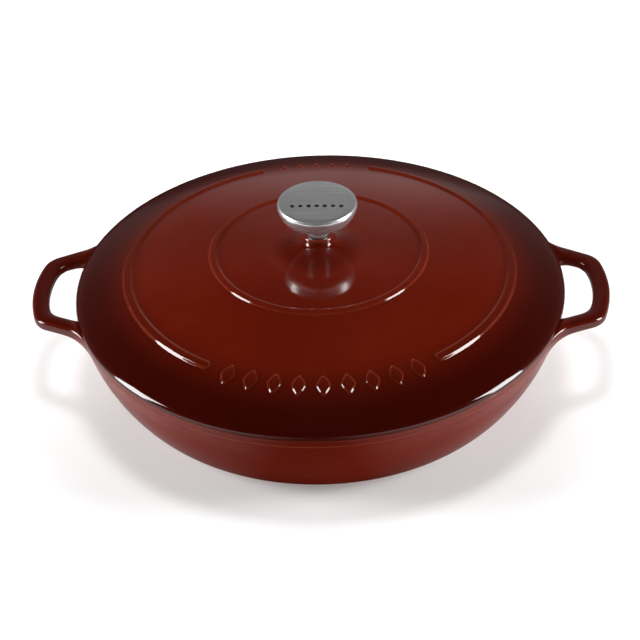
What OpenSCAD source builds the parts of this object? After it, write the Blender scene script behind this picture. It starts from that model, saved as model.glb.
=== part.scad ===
// Round shallow casserole in enamelled cast iron, with a domed lid and a steel knob.
// Millimetres. Origin at the centre of the base, +Z up, loop handles along X, front at -Y.

/* [Bowl] */
// Outer radius of the rim band
rim_r = 151.6; // [80:0.2:200]
// Height of the rim land the lid rests on
rim_z = 57; // [30:0.5:120]
// Height of the plain band under the rim land
band_h = 5.6; // [2:0.1:12]
// How far the band stands out from the wall
band_step = 0.8; // [0.3:0.1:2]
// Outer radius where the wall meets the base
base_r = 121; // [60:1:180]
// Wall roundness exponent, 1 is a cone and 2 is an ellipse
wall_n = 1.38; // [1:0.01:2.5]
// Wall thickness at the rim
wall_t = 4.8; // [2.5:0.1:8]
// Thickness of the cooking floor
floor_t = 5.2; // [3:0.1:9]
// Inner radius of the foot ring
foot_r = 108; // [40:1:170]
// Height of the foot ring
foot_h = 1.2; // [0.4:0.1:4]
// Depth of the straight throat inside the rim
throat_h = 7; // [4:0.5:15]

/* [Handles] */
// Farthest reach of a handle from the centre
handle_reach = 181; // [100:0.2:230]
// Width of the bar, seen from above
bar_w = 10.6; // [5:0.1:16]
// Thickness of the bar
bar_t = 7; // [4:0.1:12]
// Half length of the bowed outer bar, along Y
bar_half = 25.5; // [8:0.5:50]
// Radius of the bow of the outer bar
bow_r = 95; // [40:1:400]
// Centreline radius of the two corners
corner_r = 10; // [6:0.5:30]
// Angle each corner turns through, degrees
corner_turn = 49; // [15:1:80]
// Length of each leg, its end buried in the wall
leg_len = 30; // [15:1:60]
// Height of the bar's centreline at the rim
root_z = 56.2; // [20:0.1:110]
// Upward tilt of the loop, degrees
handle_tilt = -2; // [-10:0.5:25]
// Width of the web under each leg
web_w = 6; // [3:0.5:12]
// Depth of the web on the wall
web_depth = 15; // [4:0.5:30]

/* [Lid] */
// Outer radius of the lid
lid_r = 153; // [80:0.2:200]
// Height of the dome above the rim land, without the boss
dome_h = 34; // [10:0.5:80]
// Fall of the dome from its crown to the outer ring
dome_fall = 17; // [4:0.5:40]
// Dome shape exponent, 2 is a plain bowl
dome_n = 2.2; // [1.6:0.05:4]
// Radius where the edge starts to roll over
roll_r = 139; // [70:1:190]
// Thickness of the lid
lid_t = 4.3; // [2.5:0.1:8]
// Outer radius of the locating flange
flange_r = 145.4; // [60:0.2:190]
// Depth of the locating flange below the land
flange_h = 4.6; // [2:0.1:12]
// Angle the lid is turned on the bowl, degrees
lid_clock = 2.9; // [-180:0.1:180]

/* [Raised work] */
// Centre radius of the outer raised ring
ring_b_r = 119.6; // [50:0.2:180]
// Width of the outer raised ring
ring_b_w = 5.2; // [2:0.1:10]
// Centre radius of the inner raised ring
ring_c_r = 65.6; // [30:0.2:120]
// Width of the inner raised ring
ring_c_w = 4.8; // [2:0.1:10]
// Height of the rings above the dome
ring_h = 1.3; // [0.5:0.1:3]
// Half angle of the front gap in the outer ring, degrees
gap_front = 35.4; // [0:0.1:80]
// Half angle of the back gap in the outer ring, degrees
gap_back = 17.8; // [0:0.1:80]
// Number of lozenges in the front gap
front_n = 9; // [1:1:15]
// Angle between front lozenges, degrees
front_pitch = 6.9; // [3:0.1:15]
// Centre radius of the front lozenges
front_r = 121; // [60:0.2:180]
// Radial length of a front lozenge
front_len = 12.4; // [4:0.1:20]
// Number of lozenges in the back gap
back_n = 5; // [1:1:11]
// Angle between back lozenges, degrees
back_pitch = 5; // [2:0.1:15]
// Radial length of a back lozenge
back_len = 6.4; // [3:0.1:14]

// Radius of the drip nubs under the lid
nub_r = 2.2; // [1:0.1:4]
// Height of the drip nubs
nub_h = 1.8; // [0.5:0.1:4]
// Number of drip nubs in the inmost row
nub_count = 6; // [3:1:12]

/* [Boss and knob] */
// Radius at the foot of the flared boss
boss_r = 34; // [15:0.5:60]
// Radius of the collar at the top of the boss
collar_r = 9.8; // [6:0.1:20]
// Height of the seat inside the collar
seat_z = 99; // [60:0.1:150]
// Radius of the knob
knob_r = 24.6; // [12:0.1:40]
// Height of the knob above its seat
knob_h = 25.2; // [14:0.1:50]
// Radius of the engraved dots on the knob
dot_r = 1.4; // [0.5:0.1:3]
// Distance between the engraved dots
dot_pitch = 5; // [3:0.1:8]
// Distance of the row of dots in front of the knob's centre
dot_row = 6.5; // [0:0.5:12]
// Radius of the foot of the knob's stem
stem_r = 6.5; // [4:0.1:12]
// Nominal radius of the screw thread
screw_r = 3; // [2:0.1:5]
// Length of the screw under its head
screw_len = 30; // [16:1:50]
// Outer radius of the flat washer
washer_r = 9; // [5:0.1:15]
// Thickness of the flat washer
washer_t = 1.2; // [0.6:0.1:3]

/* [Hidden] */
$fn = 96;
enamel_red = [0.29, 0.06, 0.04];
steel_grey = [0.66, 0.66, 0.67];
zinc_grey = [0.58, 0.59, 0.61];
crown_z = rim_z + dome_h;
wall_top = rim_z - band_h;
inner_r = rim_r - wall_t;
throat_z = rim_z - throat_h;
wall_steps = 16;
under_z = crown_z - lid_t - 1.2;
lock_t = 1.5;
head_z = under_z - washer_t - lock_t;
head_h = 3.8;
head_r = 6;
hole_r = screw_r + 0.3;
seat_gap = 0.04;
bow_a = asin(bar_half / bow_r);
bow_x = handle_reach - bar_w / 2 - bow_r;
corner_x = bow_x + (bow_r - corner_r) * cos(bow_a);
corner_y = (bow_r - corner_r) * sin(bow_a);
leg_a = bow_a + corner_turn;
lap_a = 4;
leg_x = corner_x + corner_r * cos(leg_a);
leg_y = corner_y + corner_r * sin(leg_a);

// Height of the dome's top surface at radius r.
function dome(r) = crown_z - dome_fall * pow(r / 120, dome_n);
// Slope of the dome at radius r.
function dome_slope(r) = -dome_fall * dome_n / 120 * pow(r / 120, dome_n - 1);
// One coordinate of a curve from a to c that leaves and arrives towards b.
function curve(a, b, c, t) = a * (1 - t) * (1 - t) + 2 * b * t * (1 - t) + c * t * t;
// Quarter superellipse, level at (rb, zb) and upright at (ra, za).
function wall_line(rb, zb, ra, za) = [
  for (i = [wall_steps : -1 : 0])
    let (a = 90 * i / wall_steps)
      [rb + (ra - rb) * pow(cos(a), 2 / wall_n), za + (zb - za) * pow(sin(a), 2 / wall_n)]
];
// The rolled edge of the lid, from the dome to its upright side.
function roll_line() = [
  for (i = [0 : 8])
    let (t = i / 8)
      [
        curve(roll_r, lid_r, lid_r, t),
        curve(dome(roll_r), dome(roll_r) + dome_slope(roll_r) * (lid_r - roll_r), rim_z + 1.5, t)
      ]
];
// The dome between two radii, lowered by drop.
function dome_line(r0, r1, drop, n) = [
  for (i = [0 : n])
    let (r = r0 + (r1 - r0) * i / n)
      [r, dome(r) - drop]
];
// The hollow flare of the boss, from its collar down to the dome.
function flare_line() = [
  for (i = [0 : 10])
    let (a = 9 * i)
      [
        boss_r - (boss_r - collar_r + 0.9) * cos(a),
        seat_z - 1.6 + (dome(boss_r) - seat_z + 1.6) * sin(a)
      ]
];
// Half of a rounded bar section, w wide and h high, on its upper side.
function crest(w, h) = [
  for (a = [0 : 15 : 180])
    [w / 2 * sign(cos(a)) * pow(abs(cos(a)), 0.8), h * pow(sin(a), 0.8)]
];

// Bowl with no cavity, from its foot ring to the rim land.
module bowl_outside() {
  rotate_extrude()
    polygon(concat(
      [[0, foot_h], [foot_r - 2, foot_h], [foot_r, 0]],
      wall_line(base_r, 0, rim_r - band_step, wall_top),
      [
        [rim_r, wall_top + 0.5],
        [rim_r, rim_z - 1.2],
        [rim_r - 0.4, rim_z - 0.4],
        [rim_r - 1.2, rim_z],
        [0, rim_z]
      ]
    ));
}

// Space inside the bowl.
module bowl_inside() {
  rotate_extrude()
    polygon(concat(
      [[0, floor_t]],
      wall_line(base_r - 4, floor_t, inner_r, throat_z),
      [[inner_r, rim_z - 1], [inner_r + 0.8, rim_z], [inner_r + 0.8, rim_z + 20], [0, rim_z + 20]]
    ));
}

// Section of a handle's bar, flat-topped with full round sides, at scale k.
module bar_section(k) {
  polygon([
    for (a = [0 : 15 : 345])
      [
        k * bar_w / 2 * sign(cos(a)) * pow(abs(cos(a)), 0.62),
        k * bar_t / 2 * sign(sin(a)) * pow(abs(sin(a)), 0.62)
      ]
  ]);
}

// One corner, one leg and its web, on the +Y side.
module handle_side() {
  translate([corner_x, corner_y, 0])
    rotate([0, 0, bow_a - lap_a])
      rotate_extrude(angle = corner_turn + lap_a)
        translate([corner_r, 0])
          bar_section(0.99);
  translate([leg_x, leg_y, 0])
    rotate([0, 0, leg_a]) {
      translate([0, -1, 0])
        rotate([90, 0, 180])
          linear_extrude(leg_len + 1)
            bar_section(0.98);
      rotate([90, 0, 90])
        translate([0, 0, -web_w / 2])
          linear_extrude(web_w)
            polygon([
              [2, -bar_t / 2 + 0.6],
              [leg_len, -bar_t / 2 + 0.6],
              [leg_len, -bar_t / 2 - web_depth],
              [15, -bar_t / 2 - web_depth * 0.62],
              [10, -bar_t / 2 - web_depth * 0.3],
              [6, -bar_t / 2 - web_depth * 0.1]
            ]);
    }
}

// Loop handle on the +X side, stepped down at its roots to clear the edge of the lid.
module handle() {
  difference() {
    translate([rim_r, 0, root_z])
      rotate([0, -handle_tilt, 0])
        translate([-rim_r, 0, 0]) {
          translate([bow_x, 0, 0])
            rotate([0, 0, -bow_a])
              rotate_extrude(angle = 2 * bow_a)
                translate([bow_r, 0])
                  bar_section(1);
          handle_side();
          mirror([0, 1, 0])
            handle_side();
        }
    translate([0, 0, rim_z - 0.4])
      cylinder(h = 20, r = lid_r + 1.2);
  }
}

module pan_body() {
  color(enamel_red)
    difference() {
      union() {
        bowl_outside();
        handle();
        mirror([1, 0, 0])
          handle();
      }
      bowl_inside();
    }
}

// Solid of revolution of the lid, with its boss and locating flange.
module lid_turned() {
  rotate_extrude()
    polygon(concat(
      [
        [hole_r, under_z],
        [hole_r, seat_z],
        [stem_r + 0.5, seat_z],
        [stem_r + 0.5, seat_z + 0.8],
        [stem_r + 1, seat_z + 1.2],
        [collar_r - 1, seat_z + 1.2],
        [collar_r - 0.3, seat_z + 0.7],
        [collar_r, seat_z - 0.1],
        [collar_r - 0.3, seat_z - 0.9]
      ],
      flare_line(),
      dome_line(boss_r + 3, roll_r - 4, 0, 14),
      roll_line(),
      [
        [lid_r - 0.4, rim_z + 0.5],
        [lid_r - 1.4, rim_z + seat_gap],
        [flange_r + 0.6, rim_z + seat_gap],
        [flange_r, rim_z - 0.5],
        [flange_r - 0.5, rim_z - flange_h],
        [flange_r - 3.2, rim_z - flange_h],
        [flange_r - 4.2, rim_z + 1.5]
      ],
      dome_line(flange_r - 7, 20, lid_t, 10),
      [[14, under_z]]
    ));
}

// Raised ring on the dome, centred at radius r, from angle a0 through turn degrees.
module ring(r, w, a0, turn) {
  rotate([0, 0, a0])
    rotate_extrude(angle = turn)
      translate([r, dome(r)])
        rotate(atan(dome_slope(r)))
          polygon(concat(crest(w, ring_h), [[-w / 2, -1.2], [w / 2, -1.2]]));
}

// Round end of a raised ring at angle a, a little lower and narrower than the ring.
module ring_end(r, w, a) {
  rotate([0, 0, a])
    translate([r, 0, dome(r)])
      rotate([0, -atan(dome_slope(r)), 0])
        rotate_extrude()
          polygon([
            [0, -1], [w * 0.45, -1], [w * 0.45, ring_h * 0.25], [w * 0.41, ring_h * 0.55],
            [w * 0.3, ring_h * 0.82], [w * 0.16, ring_h * 0.92], [0, ring_h * 0.92]
          ]);
}

// Row of raised lozenges around a clock angle.
module lozenge_row(n, pitch, r, len, clock) {
  k = len / 2;
  for (i = [0 : n - 1])
    rotate([0, 0, clock + (i - (n - 1) / 2) * pitch])
      translate([r, 0, dome(r) - 1])
        rotate([0, -atan(dome_slope(r)), 0])
          linear_extrude(ring_h + 1)
            polygon([
              [k, -k * 0.12], [k, k * 0.12], [k * 0.12, k * 0.62], [-k * 0.12, k * 0.62],
              [-k, k * 0.12], [-k, -k * 0.12], [-k * 0.12, -k * 0.62], [k * 0.12, -k * 0.62]
            ]);
}

// All the raised work on the dome, before the lid is turned.
module raised_work() {
  side_turn = 180 - gap_front - gap_back;
  ring(ring_c_r, ring_c_w, 0, 360);
  for (a0 = [-90 + gap_front, 90 + gap_back]) {
    ring(ring_b_r, ring_b_w, a0, side_turn);
    ring_end(ring_b_r, ring_b_w, a0 - 0.1);
    ring_end(ring_b_r, ring_b_w, a0 + side_turn + 0.1);
  }
  lozenge_row(front_n, front_pitch, front_r, front_len, -90);
  lozenge_row(back_n, back_pitch, ring_b_r, back_len, 90);
}

// Drip nubs on the underside of the dome.
module drip_nubs() {
  for (row = [[nub_count, 50], [nub_count * 2, 92]])
    for (i = [0 : row[0] - 1])
      rotate([0, 0, 360 * (i + 0.5) / row[0]])
        translate([row[1], 0, dome(row[1]) - lid_t - nub_h])
          cylinder(r = nub_r, h = nub_h + 2, $fn = 32);
}

module lid() {
  color(enamel_red)
    rotate([0, 0, lid_clock]) {
      lid_turned();
      raised_work();
      drip_nubs();
    }
}

module lid_knob() {
  color(steel_grey)
    translate([0, 0, seat_z])
      difference() {
        rotate_extrude()
          polygon([
            [0, 0], [stem_r - 0.4, 0], [stem_r, 0.4], [stem_r + 0.1, 3],
            [stem_r + 0.6, 5.5], [stem_r + 1.7, 7.6], [stem_r + 4, 9.2], [stem_r + 7.5, 10.6],
            [stem_r + 11.5, 12], [knob_r * 0.837, 13.4], [knob_r * 0.902, 15.2], [knob_r * 0.947, 17.4],
            [knob_r * 0.982, 19.6], [knob_r, 21.4], [knob_r * 0.998, 22.4], [knob_r * 0.982, 23.5],
            [knob_r * 0.95, 24.2], [knob_r * 0.91, 24.6], [knob_r * 0.7, knob_h - 0.25],
            [knob_r * 0.4, knob_h - 0.05], [0, knob_h]
          ]);
        translate([0, 0, -1])
          cylinder(r = screw_r + 0.05, h = 16);
        for (i = [-3 : 3])
          translate([i * dot_pitch, -dot_row, knob_h - 0.7])
            cylinder(r = dot_r, h = 2, $fn = 48);
      }
}

module knob_screw() {
  color(zinc_grey)
    translate([0, 0, head_z]) {
      cylinder(r = screw_r, h = screw_len);
      difference() {
        translate([0, 0, -head_h])
          rotate_extrude()
            polygon([
              [0, 0], [head_r - 1.8, 0], [head_r - 0.6, 0.7],
              [head_r, 1.9], [head_r, head_h], [0, head_h]
            ]);
        translate([-0.7, -head_r - 1, -head_h - 1])
          cube([1.4, 2 * head_r + 2, 2.8]);
      }
    }
}

module knob_washer() {
  color(zinc_grey)
    translate([0, 0, under_z - washer_t])
      difference() {
        cylinder(r = washer_r, h = washer_t);
        translate([0, 0, -1])
          cylinder(r = hole_r, h = washer_t + 2);
      }
}

module lock_washer() {
  color(zinc_grey)
    translate([0, 0, head_z])
      difference() {
        cylinder(r = 5.4, h = lock_t);
        translate([0, 0, -1])
          cylinder(r = hole_r - 0.1, h = lock_t + 2);
        translate([0, -0.5, -1])
          cube([8, 1, lock_t + 2]);
      }
}

pan_body();
lid();
lid_knob();
knob_screw();
knob_washer();
lock_washer();
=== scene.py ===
import math
import bpy
import numpy as np
from mathutils import Matrix, Vector


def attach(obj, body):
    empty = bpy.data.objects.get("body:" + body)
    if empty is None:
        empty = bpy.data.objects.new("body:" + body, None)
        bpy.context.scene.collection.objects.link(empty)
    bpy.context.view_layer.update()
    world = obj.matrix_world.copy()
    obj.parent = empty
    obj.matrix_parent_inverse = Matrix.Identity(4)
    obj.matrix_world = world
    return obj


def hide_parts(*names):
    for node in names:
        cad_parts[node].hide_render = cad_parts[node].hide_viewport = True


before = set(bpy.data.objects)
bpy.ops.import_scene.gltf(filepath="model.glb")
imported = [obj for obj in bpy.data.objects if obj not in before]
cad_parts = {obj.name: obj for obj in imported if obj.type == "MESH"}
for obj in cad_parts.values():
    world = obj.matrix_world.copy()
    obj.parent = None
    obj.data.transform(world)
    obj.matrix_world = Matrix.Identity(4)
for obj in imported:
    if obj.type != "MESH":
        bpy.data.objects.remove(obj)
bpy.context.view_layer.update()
MM = 0.001

# ---------------------------------------------------------------- sizes, mm, as in the CAD source
RIM_R, RIM_Z, BAND_H, BAND_STEP = 151.6, 57.0, 5.6, 0.8
BASE_R, WALL_N, WALL_T, FLOOR_T = 121.0, 1.38, 4.8, 5.2
FOOT_R, FOOT_H, THROAT_H = 108.0, 1.2, 7.0
REACH, BAR_W, BAR_T, BAR_HALF, BOW_R = 181.0, 10.6, 7.0, 25.5, 95.0
CORNER_R, CORNER_TURN, CORNER_FILL, ROOT_Z, TILT = 10.0, 49.0, 1.1, 56.2, -2.0
LID_R, DOME_H, DOME_FALL, DOME_N, ROLL_R, LID_T = 153.0, 34.0, 17.0, 2.2, 139.0, 4.3
FLANGE_R, FLANGE_H, CLOCK = 145.4, 4.6, 2.9
RING_B, RING_C, RING_H = 119.6, 65.6, 1.3
GAP_F, GAP_B, DOME_AT = 35.4, 17.8, 120.0
FRONT_N, FRONT_PITCH, FRONT_R, FRONT_LEN = 9, 6.9, 121.0, 12.4
BACK_N, BACK_PITCH, BACK_LEN = 5, 5.0, 6.4
BOSS_R, COLLAR_R, SEAT_Z = 34.0, 9.8, 99.0
KNOB_R, KNOB_H, STEM_R = 24.6, 25.2, 6.5
CROWN_Z = RIM_Z + DOME_H
UNDER_Z = CROWN_Z - LID_T - 1.2
HOLE_R = 3.3
DOT_N, DOT_PITCH, DOT_ROW, DOT_R = 7, 5, 6.5, 1.4
NUBS = ((6, 50.0), (12, 92.0))  # how many, at what radius

# camera and studio, m
DIST, ELEV, ROLL, FOCAL_PX = 1.5, math.radians(35.0), math.radians(2.0), 2391.0
AIM_Z, AIM_PX, PICTURE_PX, SENSOR = 0.060, 34.0, 640.0, 36.0
# the floor's glow: low near the bowl as a painted shadow, higher far off as painted light
FLOOR_GLOW, FAR_GLOW, BACKDROP_GLOW = 0.21, 0.50, 0.96
WHITE, BLACK = (1.0, 1.0, 1.0, 1.0), (0.0, 0.0, 0.0, 1.0)


# ---------------------------------------------------------------- mesh helpers
def new_mesh(name, verts, quads, mat_index=None):
    """A smooth mesh object from vertices in mm and quads."""
    me = bpy.data.meshes.new(name)
    verts = np.asarray(verts, np.float64) * MM
    me.from_pydata(verts.tolist(), [], [tuple(int(i) for i in f) for f in quads])
    if mat_index is not None:
        me.polygons.foreach_set("material_index", np.asarray(mat_index, np.int32))
    me.polygons.foreach_set("use_smooth", np.full(len(me.polygons), True))
    me.update()
    ob = bpy.data.objects.new(name, me)
    bpy.context.scene.collection.objects.link(ob)
    return ob


def point_attribute(ob, name, values):
    """Stores a number at each vertex, which a material can read."""
    a = ob.data.attributes.new(name, "FLOAT", "POINT")
    a.data.foreach_set("value", np.asarray(values, np.float32))


def revolve(profile, thetas, closed):
    """Vertices (rows x columns x 3) of a profile of (r, z) turned through thetas, and its quads."""
    pr = np.asarray(profile, float)
    r, z = pr[:, 0][:, None], pr[:, 1][:, None]
    v = np.stack([r * np.cos(thetas), r * np.sin(thetas), z + 0 * thetas], axis=-1)
    return v, grid_quads(len(pr), len(thetas), closed)


def grid_quads(rows, cols, closed):
    """Quads of a grid of vertices: the columns always close, the rows only if closed."""
    i = np.arange(rows if closed else rows - 1)
    j = np.arange(cols)
    a, b = np.meshgrid(i, j, indexing="ij")
    a2, b2 = (a + 1) % rows, (b + 1) % cols
    q = np.stack([a * cols + b, a * cols + b2, a2 * cols + b2, a2 * cols + b], axis=-1)
    return q.reshape(-1, 4)


def full_turn(n):
    """n angles evenly round the circle."""
    return np.linspace(0, 2 * math.pi, n, endpoint=False)


def smoothstep(x):
    x = np.clip(x, 0.0, 1.0)
    return x * x * (3 - 2 * x)


def arc(cx, cz, a, b, d0, d1, n):
    """Points of an ellipse about (cx, cz) from d0 to d1 degrees."""
    t = np.radians(np.linspace(d0, d1, n))
    return [(cx + a * math.cos(x), cz + b * math.sin(x)) for x in t]


def line(p, q, n):
    """n points from p towards q, without q."""
    return [(p[0] + (q[0] - p[0]) * i / n, p[1] + (q[1] - p[1]) * i / n) for i in range(n)]


class Casting:
    """Gathers grids of quads into one mesh, with a material number for each face and thin for each vertex."""

    def __init__(self):
        self.verts, self.quads, self.mats, self.thins = [], [], [], []

    def add(self, verts, quads, mats, thin):
        verts = verts.reshape(-1, 3)
        self.quads.append(quads + sum(len(v) for v in self.verts))
        self.verts.append(verts)
        self.mats.append(np.broadcast_to(mats, len(quads)))
        self.thins.append(np.broadcast_to(thin, len(verts)))

    def mesh(self, name, materials):
        ob = new_mesh(name, np.vstack(self.verts), np.vstack(self.quads), np.concatenate(self.mats))
        point_attribute(ob, "thin", np.concatenate(self.thins))
        for m in materials:
            ob.data.materials.append(m)
        return ob


# ---------------------------------------------------------------- material helpers
class Net:
    """A material's node tree with short calls."""

    def __init__(self, name):
        self.mat = bpy.data.materials.new(name)
        self.mat.use_nodes = True
        self.t = self.mat.node_tree
        self.bsdf = self.t.nodes["Principled BSDF"]
        self.coord = self.t.nodes.new("ShaderNodeTexCoord").outputs["Object"]

    def link(self, a, b):
        self.t.links.new(a, b)

    def put(self, socket, value):
        if isinstance(value, bpy.types.NodeSocket):
            self.link(value, socket)
        else:
            socket.default_value = value

    def xyz(self):
        """The coordinates, a socket each."""
        n = self.t.nodes.new("ShaderNodeSeparateXYZ")
        self.link(self.coord, n.inputs[0])
        return n.outputs

    def radius(self, at):
        """Distance from the upright axis, from the sockets that xyz gives."""
        squares = [self.math("MULTIPLY", at[k], at[k]) for k in (0, 1)]
        return self.math("SQRT", self.math("ADD", *squares))

    def stretch(self, scale):
        n = self.t.nodes.new("ShaderNodeMapping")
        n.inputs["Scale"].default_value = scale
        self.link(self.coord, n.inputs["Vector"])
        return n.outputs[0]

    def noise(self, scale, detail=2.0, rough=0.5, vector=None, distortion=0.0):
        n = self.t.nodes.new("ShaderNodeTexNoise")
        n.inputs["Scale"].default_value = scale
        n.inputs["Detail"].default_value = detail
        n.inputs["Roughness"].default_value = rough
        n.inputs["Distortion"].default_value = distortion
        self.link(vector or self.coord, n.inputs["Vector"])
        return n.outputs["Fac"]

    def voronoi(self, scale):
        n = self.t.nodes.new("ShaderNodeTexVoronoi")
        n.inputs["Scale"].default_value = scale
        self.link(self.coord, n.inputs["Vector"])
        return n.outputs["Distance"]

    def attribute(self, name):
        n = self.t.nodes.new("ShaderNodeAttribute")
        n.attribute_name = name
        return n.outputs["Fac"]

    def math(self, op, a, b=0.0, clamp=False):
        n = self.t.nodes.new("ShaderNodeMath")
        n.operation = op
        n.use_clamp = clamp
        self.put(n.inputs[0], a)
        self.put(n.inputs[1], b)
        return n.outputs[0]

    def remap(self, value, a, b, c, d, curve="LINEAR"):
        """Takes a..b to c..d, and stops at both ends."""
        n = self.t.nodes.new("ShaderNodeMapRange")
        n.interpolation_type = curve
        self.put(n.inputs["Value"], value)
        for k, x in zip(("From Min", "From Max", "To Min", "To Max"), (a, b, c, d)):
            n.inputs[k].default_value = x
        return n.outputs[0]

    def mix(self, fac, a, b):
        n = self.t.nodes.new("ShaderNodeMix")
        n.data_type = "RGBA"
        self.put(n.inputs["Factor"], fac)
        self.put(n.inputs["A"], a if isinstance(a, bpy.types.NodeSocket) else (*a, 1.0))
        self.put(n.inputs["B"], b if isinstance(b, bpy.types.NodeSocket) else (*b, 1.0))
        return [o for o in n.outputs if o.type == "RGBA"][0]

    def bump(self, height, strength, distance, normal=None):
        n = self.t.nodes.new("ShaderNodeBump")
        n.inputs["Strength"].default_value = strength
        n.inputs["Distance"].default_value = distance
        self.link(height, n.inputs["Height"])
        if normal is not None:
            self.link(normal, n.inputs["Normal"])
        return n.outputs[0]

    def blend(self, value, low, high, a, b):
        """Colour a where value is under low, b where it is over high."""
        return self.mix(self.remap(value, low, high, 0.0, 1.0), a, b)

    def set(self, **kw):
        names = {
            "color": "Base Color", "rough": "Roughness", "metal": "Metallic", "ior": "IOR",
            "normal": "Normal", "aniso": "Anisotropic", "spec": "Specular IOR Level",
        }
        for k, v in kw.items():
            self.put(self.bsdf.inputs[names[k]], v)
        return self.mat

    def glow(self, strength):
        self.bsdf.inputs["Emission Color"].default_value = WHITE
        self.put(self.bsdf.inputs["Emission Strength"], strength)


def enamel(name, deep, light, edge=None, outer=None, peel=1.0, rough=(0.05, 0.085)):
    """Vitreous enamel: a deep colour with slow cloudy variation, orange peel and a few pits.

    edge is the colour of the thinner glaze where the attribute thin says so. outer is a darker colour further
    out from the upright axis, and the two radii in m between which it comes in.
    """
    n = Net(name)
    cloud = n.noise(14.0, 4.0, 0.55, distortion=0.3)
    speckle = n.noise(900.0, 2.0, 0.6)
    tone = n.blend(cloud, 0.3, 0.7, deep, light)
    tone = n.mix(n.remap(speckle, 0.35, 0.75, 0.0, 0.22), tone, light)
    if outer:
        # darker further out: on the lid partly a sprayed ombre, partly painted shade on the rolled edge
        colour, start, end = outer
        wavy = n.math("ADD", n.radius(n.xyz()), n.remap(cloud, 0.2, 0.8, -0.003, 0.003))
        tone = n.mix(n.remap(wavy, start, end, 0.0, 1.0, "SMOOTHSTEP"), tone, colour)
    if edge:
        wander = n.remap(n.noise(60.0, 3.0), 0.35, 0.7, 0.55, 1.0)
        tone = n.mix(n.math("MULTIPLY", n.attribute("thin"), wander, clamp=True), tone, edge)
    long_wave = n.bump(n.noise(38.0, 2.0), 0.5 * peel, 0.00010)
    grain = n.bump(n.noise(420.0, 2.5, 0.55), 0.5 * peel, 0.000022, long_wave)
    pits = n.remap(n.voronoi(75.0), 0.0, 0.03, 0.0, 1.0)
    normal = n.bump(pits, 0.25, 0.00005, grain)
    return n.set(color=tone, rough=n.remap(n.noise(160.0, 3.0), 0.3, 0.7, *rough), ior=1.52, normal=normal)


def ground_coat():
    """The matt dark coat on rims and seats."""
    n = Net("ground_coat")
    tone = n.blend(n.noise(700.0, 3.0, 0.6), 0.35, 0.7, (0.010, 0.009, 0.009), (0.045, 0.038, 0.036))
    return n.set(color=tone, rough=n.remap(n.noise(90.0, 3.0), 0.3, 0.7, 0.42, 0.62), ior=1.5,
                 normal=n.bump(n.noise(520.0, 3.0), 0.5, 0.00006))


def turned_steel():
    """Steel turned on a lathe: fine rings about the upright axis."""
    n = Net("steel_turned")
    at = n.xyz()
    comb = n.t.nodes.new("ShaderNodeCombineXYZ")
    n.link(n.radius(at), comb.inputs[0])
    n.link(at[2], comb.inputs[1])
    rings = n.noise(2600.0, 3.0, 0.6, comb.outputs[0])
    tint = (0.72, 0.72, 0.73)
    tone = n.blend(n.noise(70.0, 3.0, 0.6), 0.3, 0.7, tint, tuple(c * 0.86 for c in tint))
    return n.set(color=tone, metal=0.85, rough=n.remap(rings, 0.3, 0.7, 0.22, 0.34), aniso=0.5,
                 normal=n.bump(rings, 0.2, 0.0000035))


def brushed_top():
    """The knob's top face, brushed in one direction and slightly handled."""
    n = Net("steel_brushed")
    lines = n.noise(1.0, 4.0, 0.65, n.stretch((55.0, 2600.0, 200.0)))
    broad = n.noise(1.0, 3.0, 0.6, n.stretch((16.0, 420.0, 60.0)))
    smudge = n.noise(85.0, 4.0, 0.6)
    streak = n.math("ADD", n.math("MULTIPLY", lines, 0.5), n.math("MULTIPLY", broad, 0.5))
    tone = n.blend(streak, 0.35, 0.65, (0.46, 0.46, 0.47), (0.60, 0.60, 0.61))
    rough = n.math("ADD", n.remap(smudge, 0.3, 0.7, 0.30, 0.42), n.remap(lines, 0.3, 0.7, -0.04, 0.04))
    return n.set(color=tone, metal=0.80, rough=rough, aniso=0.6, normal=n.bump(lines, 0.4, 0.000008))


def dot_fill():
    """Black filling at the bottom of the engraved dots."""
    n = Net("dot_fill")
    tone = n.blend(n.noise(900.0, 2.0), 0.3, 0.7, (0.006, 0.006, 0.006), (0.022, 0.021, 0.021))
    return n.set(color=tone, rough=n.remap(n.noise(300.0), 0.3, 0.7, 0.45, 0.7),
                 normal=n.bump(n.noise(1400.0), 0.4, 0.00003))


def zinc():
    n = Net("zinc_plate")
    tone = n.blend(n.noise(260.0, 4.0, 0.6), 0.3, 0.7, (0.44, 0.45, 0.47), (0.60, 0.61, 0.62))
    return n.set(color=tone, metal=1.0, rough=n.remap(n.noise(420.0, 3.0), 0.3, 0.7, 0.26, 0.42),
                 normal=n.bump(n.noise(1500.0, 2.0), 0.3, 0.00001))


THIN_RED = (0.21, 0.034, 0.013)
# pan enamel: darker from the rim's outer edge out over the handles
RED = enamel("enamel_red", (0.080, 0.0046, 0.0012), (0.100, 0.0074, 0.0022), THIN_RED,
             ((0.046, 0.0026, 0.0010), 0.151, 0.162))
# lid enamel: darker towards the edge, partly a sprayed ombre and partly painted shade on the rolled edge,
# which turns from the light
LID_RED = enamel("enamel_red_lid", (0.086, 0.0052, 0.0013), (0.106, 0.0080, 0.0024), THIN_RED,
                 ((0.030, 0.0019, 0.0008), 0.104, 0.141))
CREAM = enamel("enamel_cream", (0.55, 0.44, 0.29), (0.63, 0.52, 0.36), peel=0.8, rough=(0.16, 0.24))
GROUND, STEEL, TOP, FILL, ZINC = ground_coat(), turned_steel(), brushed_top(), dot_fill(), zinc()


# ---------------------------------------------------------------- bowl and handles
# material numbers on the castings; RAISED is the outside enamel where the lid has its raised work
OUTSIDE, INSIDE, COAT, RAISED = 0, 1, 2, 3


def wall_line(rb, zb, ra, za, n):
    """Quarter superellipse, level at (rb, zb) and upright at (ra, za)."""
    out = []
    for i in range(n, -1, -1):
        a = math.radians(90 * i / n)
        along, up = (abs(x) ** (2 / WALL_N) for x in (math.cos(a), math.sin(a)))
        out.append((rb + (ra - rb) * along, za + (zb - za) * up))
    return out


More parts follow.
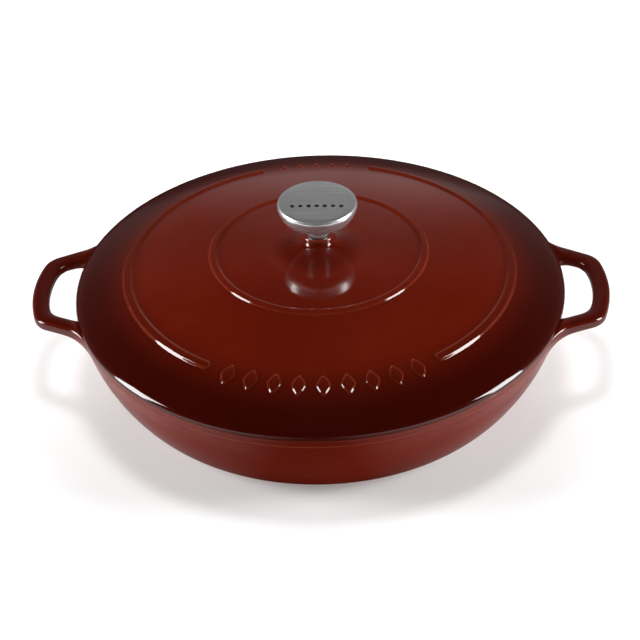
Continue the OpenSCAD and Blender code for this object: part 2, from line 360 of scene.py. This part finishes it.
def build_pan():
    top = RIM_Z - BAND_H
    inner = RIM_R - WALL_T
    outside = wall_line(BASE_R, 0.0, RIM_R - BAND_STEP, top, 40)
    outside[0] = (BASE_R - 1.0, 0.0)
    band = [
        (RIM_R - 0.62, top + 0.25), (RIM_R - 0.2, top + 0.5), (RIM_R, top + 0.95), (RIM_R, top + 1.6),
        (RIM_R, RIM_Z - 2.6), (RIM_R - 0.02, RIM_Z - 1.5),
    ] + arc(RIM_R - 1.3, RIM_Z - 1.3, 1.3, 1.3, 8, 90, 8)
    land = [(RIM_R - 2.6, RIM_Z), (inner + 2.0, RIM_Z)] + arc(inner + 1.0, RIM_Z - 1.0, 1.0, 1.0, 90, 180, 6)
    throat = line((inner, RIM_Z - 1.8), (inner, RIM_Z - THROAT_H), 4)
    inside = wall_line(BASE_R - 4, FLOOR_T, inner, RIM_Z - THROAT_H, 32)[::-1]
    floor = line((BASE_R - 6.5, FLOOR_T), (1.5, FLOOR_T), 14) + [(1.5, FLOOR_T), (0.02, FLOOR_T)]
    under = [(0.02, FOOT_H)] + line((1.5, FOOT_H), (FOOT_R - 3.0, FOOT_H), 10)
    foot = [
        (FOOT_R - 3.0, FOOT_H), (FOOT_R - 2.2, FOOT_H - 0.1), (FOOT_R - 0.8, 0.25), (FOOT_R, 0.04),
        (FOOT_R + 1, 0.0), (BASE_R - 6, 0.0),
    ]
    # the line runs up the outside, over the rim, down the inside and back under the base
    prof, tag = [], []
    for points, material in (
        (outside + band, OUTSIDE), (land, COAT), (throat + inside + floor, INSIDE), (under, OUTSIDE),
        (foot, COAT),
    ):
        prof += points
        tag += [material] * len(points)
    thin = np.zeros(len(prof))
    for k, (r, z) in enumerate(prof):
        if tag[k] == OUTSIDE:
            # lighter glaze at the band's step and the lip: thinner glaze, and at the step partly a painted
            # highlight line
            step = max(0.0, 1 - abs(z - (top + 0.5)) / 0.8)
            lip = max(0.0, 1 - abs(z - RIM_Z + 0.5) / 0.9)
            thin[k] = 0.5 if z < 1.0 else step * 0.9 + lip * 0.6
    th = full_turn(288)
    v, q = revolve(prof, th, True)
    cast = Casting()
    cast.add(v, q[:, ::-1], np.repeat(tag, len(th)), np.repeat(thin, len(th)))
    # outside radius of the casting at a height, for seating the handles
    by_height = sorted(outside + band, key=lambda point: point[1])
    rs, zs = np.array(by_height).T

    def wall_r(z):
        return np.interp(z, zs, rs)

    hv, hq, ht = build_handle(wall_r)
    for side in (1, -1):
        cast.add(hv * (side, side, 1), hq, OUTSIDE, ht)
    ob = cast.mesh("pan_casting", (RED, CREAM, GROUND))
    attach(ob, "pan")
    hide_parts("pan_body")


def build_handle(wall_r):
    """Loop handle on +X: a swept bar whose two ends spread into the wall."""
    bow_a = math.asin(BAR_HALF / BOW_R)
    bow_x = REACH - BAR_W / 2 - BOW_R
    cx, cy = bow_x + (BOW_R - CORNER_R) * math.cos(bow_a), (BOW_R - CORNER_R) * math.sin(bow_a)
    leg_a = bow_a + math.radians(CORNER_TURN)
    lx, ly = cx + CORNER_R * math.cos(leg_a), cy + CORNER_R * math.sin(leg_a)
    path = []  # centre x, y, outward angle
    for a in np.linspace(0, bow_a, 12)[:-1]:
        path.append((bow_x + BOW_R * math.cos(a), BOW_R * math.sin(a), a))
    for a in np.linspace(bow_a, leg_a, 12):
        path.append((cx + CORNER_R * math.cos(a), cy + CORNER_R * math.sin(a), a))
    tilt = math.radians(TILT)

    def place(p):
        """Tilts a point about the line through the rim."""
        x, y, z = p[..., 0] - RIM_R, p[..., 1], p[..., 2]
        return np.stack([RIM_R + x * math.cos(tilt) - z * math.sin(tilt), y,
                         ROOT_Z + x * math.sin(tilt) + z * math.cos(tilt)], axis=-1)

    n_sec = 44
    phi = full_turn(n_sec)
    e = 2 / 4.4
    su = np.sign(np.cos(phi)) * np.abs(np.cos(phi)) ** e
    sv = np.sign(np.sin(phi)) * np.abs(np.sin(phi)) ** e
    # the top is crowned: it falls away towards both sides
    sv = sv - 0.12 * su * su * (sv > 0)
    half_w, half_t = BAR_W / 2, BAR_T / 2
    half_arc = CORNER_R * math.radians(CORNER_TURN) / 2

    def fillet(along):
        """Extra width inside the corner, which rounds the opening; along is from the corner's middle, mm."""
        return -CORNER_FILL * math.exp(-(along / 6.5) ** 2) * np.clip(-su, 0, 1)

    rings = []
    for x, y, a in path:
        if a < bow_a:
            along = half_arc + BOW_R * (bow_a - a)
        else:
            along = half_arc - CORNER_R * (a - bow_a)
        w = half_w * su + fillet(along)
        rings.append(place(np.stack([x + w * math.cos(a), y + w * math.sin(a), half_t * sv], axis=-1)))
    # the leg, straight, then each line of the section bends into the wall
    t_dir = np.array([-math.sin(leg_a), math.cos(leg_a), 0.0])
    w = half_w * su
    p_end = np.stack([lx + w * math.cos(leg_a), ly + w * math.sin(leg_a), half_t * sv], axis=-1)
    c0 = place(np.array([[lx, ly, 0.0]]))[0]
    c1 = place(np.array([[lx, ly, 0.0]]) + t_dir)[0]
    tw = c1 - c0
    start = place(p_end)

    def meet(p0):
        """Where lines from p0 along the leg reach the wall, and how far that is."""
        lo, hi = np.full(len(p0), 2.0), np.full(len(p0), 40.0)
        for _ in range(40):
            mid = (lo + hi) / 2
            q = p0 + mid[:, None] * tw
            out = np.hypot(q[:, 0], q[:, 1]) > wall_r(q[:, 2])
            lo, hi = np.where(out, mid, lo), np.where(out, hi, mid)
        return p0 + lo[:, None] * tw, lo

    hit, reach = meet(start)
    middle = meet(c0[None, :])[0][0]
    th_h, th_c = np.arctan2(hit[:, 1], hit[:, 0]), math.atan2(middle[1], middle[0])
    du = (th_h - th_c) * RIM_R
    dz = hit[:, 2] - middle[2]
    length = np.hypot(du, dz)
    du, dz = du / length, dz / length
    # how far the foot spreads up or down the wall, and round it
    rise = np.where(dz > 0, 1.4, 25.0)
    side = np.where(du > 0, 17.0, 6.0)
    rho = np.sqrt((side * du) ** 2 + (rise * dz) ** 2)
    foot_th = th_h + rho * du / RIM_R
    foot_z = np.minimum(hit[:, 2] + rho * dz, RIM_Z - 0.5)
    foot_r = wall_r(foot_z) - 0.12
    foot = np.stack([foot_r * np.cos(foot_th), foot_r * np.sin(foot_th), foot_z], axis=-1)
    sigma = np.where(dz > 0, 5.0 + 6.0 * np.abs(du), 16.0)
    sigma = np.minimum(sigma, reach - 0.5)
    begin = hit - sigma[:, None] * tw
    # the upper lines stop short of the lid's edge and drop steeply to the rim
    over = smoothstep((hit[:, 2] - RIM_Z + 2.5) / 2.5)[:, None]
    hit = hit - over * 4.6 * tw
    begin = np.where(over > 0, begin - over * 1.5 * tw, begin)
    inward = place(np.array([[lx + math.cos(leg_a), ly + math.sin(leg_a), 0.0]]))[0] - c0
    leg = math.dist(start[0], begin[0])
    for t in np.linspace(0, 1, 11)[1:]:
        rings.append(start + (begin - start) * t + fillet(half_arc + leg * t)[:, None] * inward)
    for t in np.linspace(0, 1, 15)[1:]:
        rings.append(begin * (1 - t) ** 2 + 2 * hit * t * (1 - t) + foot * t * t)
    half = np.array(rings)
    other = half[::-1].copy()
    other[..., 1] *= -1
    whole = np.concatenate([other[:-1], half])
    n = len(whole)
    a, b = np.meshgrid(np.arange(n - 1), np.arange(n_sec), indexing="ij")
    b2 = (b + 1) % n_sec
    here, after = a * n_sec, (a + 1) * n_sec
    q = np.stack([here + b, after + b, after + b2, here + b2], axis=-1).reshape(-1, 4)
    thin = np.tile(np.clip((np.abs(su * sv) - 0.55) * 1.2, 0, 0.35), n)
    return whole.reshape(-1, 3), q, thin


# ---------------------------------------------------------------- lid
def dome(r):
    """Height of the lid's outside at radius r, mm."""
    return CROWN_Z - DOME_FALL * np.power(np.asarray(r, float) / DOME_AT, DOME_N)


def dome_slope(r):
    """Rise of the dome for each mm outwards."""
    return -DOME_FALL * DOME_N / DOME_AT * np.power(np.asarray(r, float) / DOME_AT, DOME_N - 1)


def lozenge(r, th, centre, rc, length):
    """Signed depth into a lozenge, mm, positive inside."""
    a, b = length / 2 + 0.3, length / 2 * 0.64
    u, v = np.abs(r - rc) / a, np.abs(r * (th - centre)) / b
    q = (u ** 1.3 + v ** 1.3) ** (1 / 1.3)
    return (1 - q) * a * b / math.hypot(a, b)


def raised(r, th):
    """Height above the dome, mm, and how thin the glaze is, at radius r and angle th from the lid's front."""
    h = np.zeros(np.broadcast(r, th).shape)
    thin = np.zeros_like(h)

    def add(depth, edge, height, crown=0.0):
        s = smoothstep((depth + edge / 2) / edge)
        extra = crown * np.clip(depth / 3.0, 0, 1) * s
        nonlocal h, thin
        h = np.maximum(h, height * s + extra)
        thin = np.maximum(thin, 1.6 * s * (1 - s) + 0.03 * s)

    add(2.25 - np.abs(r - RING_C) + 0 * th, 1.9, RING_H * 0.95)
    gap_f, gap_b = math.radians(GAP_F), math.radians(GAP_B)
    past = np.maximum(gap_f - np.abs(th), 0) + np.maximum(gap_b - (math.pi - np.abs(th)), 0)
    add(2.5 - np.hypot(r - RING_B, r * past), 2.0, RING_H * 1.05)
    for i in range(FRONT_N):
        c = math.radians((i - (FRONT_N - 1) / 2) * FRONT_PITCH)
        add(lozenge(r, th, c, FRONT_R, FRONT_LEN), 1.3, RING_H * 0.75, 0.45)
    for i in range(BACK_N):
        c = math.pi + math.radians((i - (BACK_N - 1) / 2) * BACK_PITCH)
        add(lozenge(r, np.where(th < 0, th + 2 * math.pi, th), c, RING_B, BACK_LEN), 1.1, RING_H * 0.75, 0.3)
    return h, thin


def cubic(b0, b1, b2, b3, n):
    """n points of a cubic Bezier curve."""
    out = []
    for t in np.linspace(0, 1, n):
        u = 1 - t
        out.append(tuple(
            p * u ** 3 + 3 * q * t * u * u + 3 * r * t * t * u + s * t ** 3
            for p, q, r, s in zip(b0, b1, b2, b3)
        ))
    return out


def build_lid():
    prof, kind = [], []

    def run(points, k):
        prof.extend(points)
        kind.extend([k] * len(points))

    s = STEM_R + 0.5
    run([(HOLE_R, SEAT_Z), (s - 0.6, SEAT_Z), (s, SEAT_Z + 0.2), (s, SEAT_Z + 0.6)], OUTSIDE)
    run(arc(s + 1.35, SEAT_Z + 0.15, 1.35, 1.15, 160, 90, 6), OUTSIDE)
    run(arc(COLLAR_R - 1.4, SEAT_Z - 0.1, 1.4, 1.4, 85, -50, 12), OUTSIDE)
    # hollow flare, from under the collar to the dome
    neck_r, neck_z = COLLAR_R - 0.75, SEAT_Z - 1.9
    fall = float(dome(BOSS_R)) - neck_z
    for a in np.radians(np.linspace(0, 90, 30)[1:]):
        run([(BOSS_R - (BOSS_R - neck_r) * math.cos(a), neck_z + fall * math.sin(a))], OUTSIDE)
    # finer rows across the rings and the lozenges
    radii = np.concatenate([
        np.arange(BOSS_R + 2, 61.5, 2.5), np.arange(61.8, 69.6, 0.3), np.arange(71, 113, 2.8),
        np.arange(113.4, 129.2, 0.4), np.arange(130.5, ROLL_R - 2, 2.2),
    ])
    run([(r, float(dome(r))) for r in radii], RAISED)
    # the edge rolls over to upright
    b0 = (ROLL_R - 1, float(dome(ROLL_R - 1)))
    b1 = (b0[0] + 11.5, b0[1] + float(dome_slope(ROLL_R)) * 11.5)
    run(cubic(b0, b1, (LID_R, RIM_Z + 5.4), (LID_R, RIM_Z + 1.8), 26), OUTSIDE)
    run(arc(LID_R - 1.6, RIM_Z + 1.6, 1.6, 1.6, -8, -90, 9), OUTSIDE)
    # land, flange and the inside of the dome
    run([(FLANGE_R + 1.2, RIM_Z), (FLANGE_R + 0.3, RIM_Z - 0.1), (FLANGE_R, RIM_Z - 0.6)], COAT)
    run([(FLANGE_R - 0.4, RIM_Z - FLANGE_H + 0.7)], COAT)
    run(arc(FLANGE_R - 1.1, RIM_Z - FLANGE_H + 0.7, 0.7, 0.7, -20, -90, 5), COAT)
    run([(FLANGE_R - 2.6, RIM_Z - FLANGE_H)], COAT)
    run(arc(FLANGE_R - 2.7, RIM_Z - FLANGE_H + 0.9, 0.9, 0.9, -90, -165, 5), INSIDE)
    run([(FLANGE_R - 4.2, RIM_Z + 1.5), (FLANGE_R - 5.2, RIM_Z + 4.2)], INSIDE)
    run([(r, float(dome(r)) - LID_T) for r in np.linspace(FLANGE_R - 8, 20, 34)], INSIDE)
    run([(17, float(dome(17)) - LID_T - 0.25), (14.5, UNDER_Z + 0.2)], INSIDE)
    run([(r, UNDER_Z) for r in (12.5, 8, HOLE_R)], INSIDE)
    run([(HOLE_R, UNDER_Z + 4), (HOLE_R, SEAT_Z - 3)], COAT)
    # finer columns across the two gaps and the ring's ends
    columns = [(-38, 38, 0.25), (38, 158, 0.8), (158, 202, 0.3), (202, 322, 0.8)]
    th = np.radians(np.unique(np.round(np.concatenate([np.arange(*c) for c in columns]), 4)))
    clock = math.radians(-90 + CLOCK)
    v, q = revolve(prof, th + clock, True)
    own = np.where(th > math.pi, th - 2 * math.pi, th)
    kinds = np.asarray(kind)
    thin = np.zeros(v.shape[:2])
    # the raised work stands square to the dome
    rows = np.where(kinds == RAISED)[0]
    r = np.asarray(prof)[rows, 0][:, None]
    h, thin[rows] = raised(r, own[None, :])
    slope = dome_slope(r)
    n = np.sqrt(1 + slope ** 2)
    radial = -slope / n * h
    v[rows, :, 0] += radial * np.cos(th + clock)
    v[rows, :, 1] += radial * np.sin(th + clock)
    v[rows, :, 2] += h / n
    for k, (r, z) in enumerate(prof):
        if kinds[k] == OUTSIDE and r > LID_R - 2.4 and z < RIM_Z + 3.4:
            thin[k] = 0.05
        if kinds[k] == OUTSIDE and r < COLLAR_R + 0.1 and z > SEAT_Z - 1.2:
            thin[k] = 0.35
    mats = np.where(kinds == RAISED, OUTSIDE, kinds)
    cast = Casting()
    cast.add(v, q[:, ::-1], np.repeat(mats, len(th)), thin.reshape(-1))
    # drip nubs: low domes on the inside surface
    nub = [(2.9, 0.6), (2.5, -0.25), (2.2, -0.8), (1.75, -1.3), (1.1, -1.65), (0.4, -1.8), (0.02, -1.8)]
    nub_v, nub_q = revolve(nub, full_turn(20), False)
    for count, ring_r in NUBS:
        for i in range(count):
            a = 2 * math.pi * (i + 0.5) / count + math.radians(CLOCK)
            place = (ring_r * math.cos(a), ring_r * math.sin(a), float(dome(ring_r)) - LID_T)
            cast.add(nub_v + place, nub_q, INSIDE, 0.0)
    ob = cast.mesh("lid_casting", (LID_RED, CREAM, GROUND))
    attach(ob, "lid")
    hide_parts("lid")


# ---------------------------------------------------------------- knob
def smooth_line(points, per):
    """Catmull-Rom line through points, per points a span."""
    p = np.asarray(points, float)
    ext = np.vstack([2 * p[0] - p[1], p, 2 * p[-1] - p[-2]])
    out = []
    for i in range(1, len(ext) - 2):
        a, b, c, d = ext[i - 1], ext[i], ext[i + 1], ext[i + 2]
        for t in np.arange(per) / per:
            bend = (2 * a - 5 * b + 4 * c - d) * t * t + (3 * b - a - 3 * c + d) * t ** 3
            out.append(0.5 * (2 * b + (c - a) * t + bend))
    out.append(p[-1])
    return [tuple(x) for x in out]


def build_knob():
    k, s = KNOB_R, STEM_R
    side = [
        (s, 0.4), (s + 0.1, 3.0), (s + 0.6, 5.5), (s + 1.7, 7.6), (s + 4.0, 9.2), (s + 7.5, 10.6),
        (s + 11.5, 12.0), (k * 0.837, 13.4), (k * 0.902, 15.2), (k * 0.947, 17.4), (k * 0.982, 19.6),
        (k, 21.4), (k * 0.998, 22.4), (k * 0.982, 23.5), (k * 0.95, 24.2), (k * 0.91, 24.6),
    ]
    top = [side[-1], (k * 0.7, KNOB_H - 0.25), (k * 0.4, KNOB_H - 0.04), (0.3, KNOB_H), (0.02, KNOB_H)]
    prof = [(s - 0.4, 0.0)] + smooth_line(side, 3) + smooth_line(top, 4)[1:]
    first_top = len(side) * 3 - 3
    th = full_turn(160)
    v, q = revolve([(r, z + SEAT_Z) for r, z in prof], th, False)
    tag = np.repeat([int(i >= first_top) for i in range(len(prof) - 1)], len(th))
    ob = new_mesh("knob_turning", v.reshape(-1, 3), q, tag)
    # the materials come before the cuts, which would otherwise reset the faces' numbers
    for m in (STEEL, TOP, FILL):
        ob.data.materials.append(m)
    # engraved dots: cut as shallow wells, their floors filled black
    dots = [(i - (DOT_N - 1) / 2) * DOT_PITCH for i in range(DOT_N)]
    for x in dots:
        bpy.ops.mesh.primitive_cylinder_add(vertices=40, radius=DOT_R * MM, depth=1.4 * MM,
                                            location=(x * MM, -DOT_ROW * MM, (SEAT_Z + KNOB_H + 0.1) * MM))
        cut = bpy.context.object
        m = ob.modifiers.new("dot", "BOOLEAN")
        m.operation = "DIFFERENCE"
        m.solver = "EXACT"
        m.object = cut
        bpy.context.view_layer.objects.active = ob
        bpy.ops.object.modifier_apply(modifier=m.name)
        bpy.data.objects.remove(cut)
    for poly in ob.data.polygons:
        c = poly.center / MM
        off = min(math.hypot(c.x - x, c.y + DOT_ROW) for x in dots)
        if c.z > SEAT_Z + KNOB_H - 1.0 and off < DOT_R + 0.005:
            poly.material_index = 2
            poly.use_smooth = False
    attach(ob, "lid")
    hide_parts("lid_knob")


build_pan()
build_lid()
build_knob()

for node in ("knob_screw", "knob_washer", "lock_washer"):
    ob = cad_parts[node]
    ob.data.materials.clear()
    ob.data.materials.append(ZINC)

# ---------------------------------------------------------------- studio
scene = bpy.context.scene
scene.view_settings.view_transform = "Standard"
scene.view_settings.look = "None"
scene.view_settings.exposure = 0.0

floor_net = Net("studio_floor")
grey = floor_net.blend(floor_net.noise(2.0, 2.0), 0.3, 0.7, (0.77, 0.77, 0.77), (0.80, 0.80, 0.80))
floor_net.set(color=grey, rough=0.9, spec=0.0)
# painted shade and light in the floor's glow: low near the bowl as a painted shadow, brighter away from it,
# and again far away as painted light where the lights don't reach
radius = floor_net.radius(floor_net.xyz())
near = floor_net.remap(radius, 0.19, 0.30, FLOOR_GLOW, FAR_GLOW)
floor_net.glow(floor_net.math("ADD", near, floor_net.remap(radius, 0.6, 2.4, 0.0, 1.0 - FAR_GLOW)))
bpy.ops.mesh.primitive_plane_add(size=30.0, location=(0, 0, 0))
floor = bpy.context.object
floor.name = "studio_floor"
floor.data.materials.append(floor_net.mat)
floor.visible_glossy = floor.visible_diffuse = floor.visible_shadow = False


def sheet(name, half, back, z, material):
    """A flat piece of the studio, mm: half to either side and to the front, back to the rear, at height z."""
    corners = [(-half, -half, z), (half, -half, z), (half, back, z), (-half, back, z)]
    ob = new_mesh(name, corners, [(0, 1, 2, 3)])
    ob.data.materials.append(material)
    return ob


# what the gloss sees of the table: only the part beside and in front of the bowl; straight in front it is
# near-black, a painted shadow for the shaded table under the bowl
card_net = Net("studio_card")
at = card_net.xyz()
beside = card_net.remap(card_net.math("ABSOLUTE", at[0]), 0.03, 0.17, 0.0, 1.0)
ahead = card_net.remap(at[1], 0.16, -0.08, 0.0, 1.0)
# near-black in the middle front, pale to the sides: painted shadow for the reflections
grey = card_net.mix(card_net.math("MULTIPLY", beside, ahead), (0.03, 0.03, 0.03), (0.80, 0.80, 0.80))
card = sheet("studio_card", 1500, 200, 0.3, card_net.set(color=grey, rough=0.9, spec=0.0))
card.visible_camera = card.visible_diffuse = card.visible_shadow = card.visible_transmission = False

# light coming back up off the table, which only reaches what faces down
bounce_net = Net("studio_bounce")
bounce_net.glow(bounce_net.remap(bounce_net.math("ABSOLUTE", bounce_net.xyz()[0]), 0.0, 0.25, 1.3, 3.4))
bounce = sheet("studio_bounce", 900, 300, -0.3, bounce_net.set(color=BLACK, spec=0.0))
bounce.visible_camera = bounce.visible_glossy = bounce.visible_shadow = bounce.visible_transmission = False

# pale backdrop all round, seen by the camera only
back_net = Net("studio_backdrop")
back_net.set(color=BLACK, spec=0.0)
back_net.glow(BACKDROP_GLOW)
v, q = revolve([(14000, 0.0), (14000, 9000), (9000, 13000), (20, 14000)], full_turn(64), False)
backdrop = new_mesh("studio_backdrop", v.reshape(-1, 3), q)
backdrop.data.materials.append(back_net.mat)
backdrop.visible_glossy = backdrop.visible_diffuse = backdrop.visible_shadow = False
backdrop.visible_transmission = False


class SkyNet(Net):
    """The same calls on the world's tree, with the direction looked in as the coordinates."""

    def __init__(self, world):
        world.use_nodes = True
        self.t = world.node_tree
        self.t.nodes.clear()
        self.coord = self.t.nodes.new("ShaderNodeTexCoord").outputs["Generated"]


# sky brightness against the sine of the elevation
SKY = (
    (-1.0, 0.02), (-0.35, 0.03), (-0.08, 0.05), (-0.01, 0.12), (0.06, 0.36), (0.17, 0.36), (0.34, 0.22),
    (0.50, 0.13), (0.64, 0.06), (0.80, 0.015), (1.0, 0.01),
)
scene.world = bpy.data.worlds.new("studio")
sky = SkyNet(scene.world)
way = sky.xyz()
ramp = sky.t.nodes.new("ShaderNodeValToRGB")
sky.link(sky.remap(way[2], -1.0, 1.0, 0.0, 1.0), ramp.inputs[0])
stops = ramp.color_ramp.elements
stops[0].position, stops[1].position = 0.0, 1.0
for sin_el, val in SKY[1:-1]:
    stops.new((sin_el + 1) / 2)
for stop, (sin_el, val) in zip(stops, SKY):
    stop.color = (val, val, val, 1)
# darker in front, and the haze over the back of the lid fades to either side
depth = sky.remap(way[1], -0.8, 0.7, 0.04, 1.0)
width = sky.remap(sky.math("ABSOLUTE", way[0]), 0.09, 0.26, 1.0, 0.35)
dimmed = sky.t.nodes.new("ShaderNodeVectorMath")
dimmed.operation = "SCALE"
sky.link(ramp.outputs[0], dimmed.inputs[0])
sky.link(sky.math("MULTIPLY", depth, width), dimmed.inputs["Scale"])
background = sky.t.nodes.new("ShaderNodeBackground")
sky.link(dimmed.outputs[0], background.inputs["Color"])
sky.link(background.outputs[0], sky.t.nodes.new("ShaderNodeOutputWorld").inputs[0])


def area(name, loc, target, size_x, size_y, power, glossy=True):
    """A rectangular lamp at loc, facing target, unseen by the camera."""
    data = bpy.data.lights.new(name, "AREA")
    data.shape = "RECTANGLE"
    data.size, data.size_y = size_x, size_y
    data.energy = power
    ob = bpy.data.objects.new(name, data)
    scene.collection.objects.link(ob)
    ob.location = loc
    d = Vector(target) - Vector(loc)
    ob.rotation_euler = d.to_track_quat("-Z", "Y").to_euler()
    ob.visible_camera = False
    ob.visible_glossy = glossy


area("softbox_left", (-1.35, -0.16, 0.46), (0, 0, 0.05), 0.46, 1.0, 25.0)
area("softbox_right", (1.35, -0.16, 0.46), (0, 0, 0.05), 0.46, 1.0, 25.0)
area("back_key", (0.0, 2.6, 1.45), (0, 0, 0.0), 2.8, 0.6, 62.0, False)
area("overhead", (0.0, 0.1, 1.9), (0, 0, 0.0), 0.45, 0.45, 13.0, False)

# ---------------------------------------------------------------- camera
azimuth = math.radians(-90.0 + CLOCK)
fwd = Vector((-math.cos(azimuth) * math.cos(ELEV), -math.sin(azimuth) * math.cos(ELEV), -math.sin(ELEV)))
right = fwd.cross(Vector((0, 0, 1))).normalized()
up = right.cross(fwd)
eye = Vector((0.0, 0.0, AIM_Z)) - fwd * DIST
# the aim point sits a little above the middle of the picture
off_x, off_y = AIM_PX * math.sin(ROLL), AIM_PX * math.cos(ROLL)
fwd = (fwd - right * (off_x / FOCAL_PX) - up * (off_y / FOCAL_PX)).normalized()
right = (right - fwd * right.dot(fwd)).normalized()
up = right.cross(fwd)
cam_x = right * math.cos(ROLL) - up * math.sin(ROLL)
cam_y = right * math.sin(ROLL) + up * math.cos(ROLL)
cam_data = bpy.data.cameras.new("camera")
cam_data.sensor_width = SENSOR
cam_data.lens = FOCAL_PX / PICTURE_PX * SENSOR
cam_data.clip_end = 60.0
cam = bpy.data.objects.new("camera", cam_data)
scene.collection.objects.link(cam)
cam.matrix_world = Matrix.Translation(eye) @ Matrix((cam_x, cam_y, -fwd)).transposed().to_4x4()
scene.camera = cam
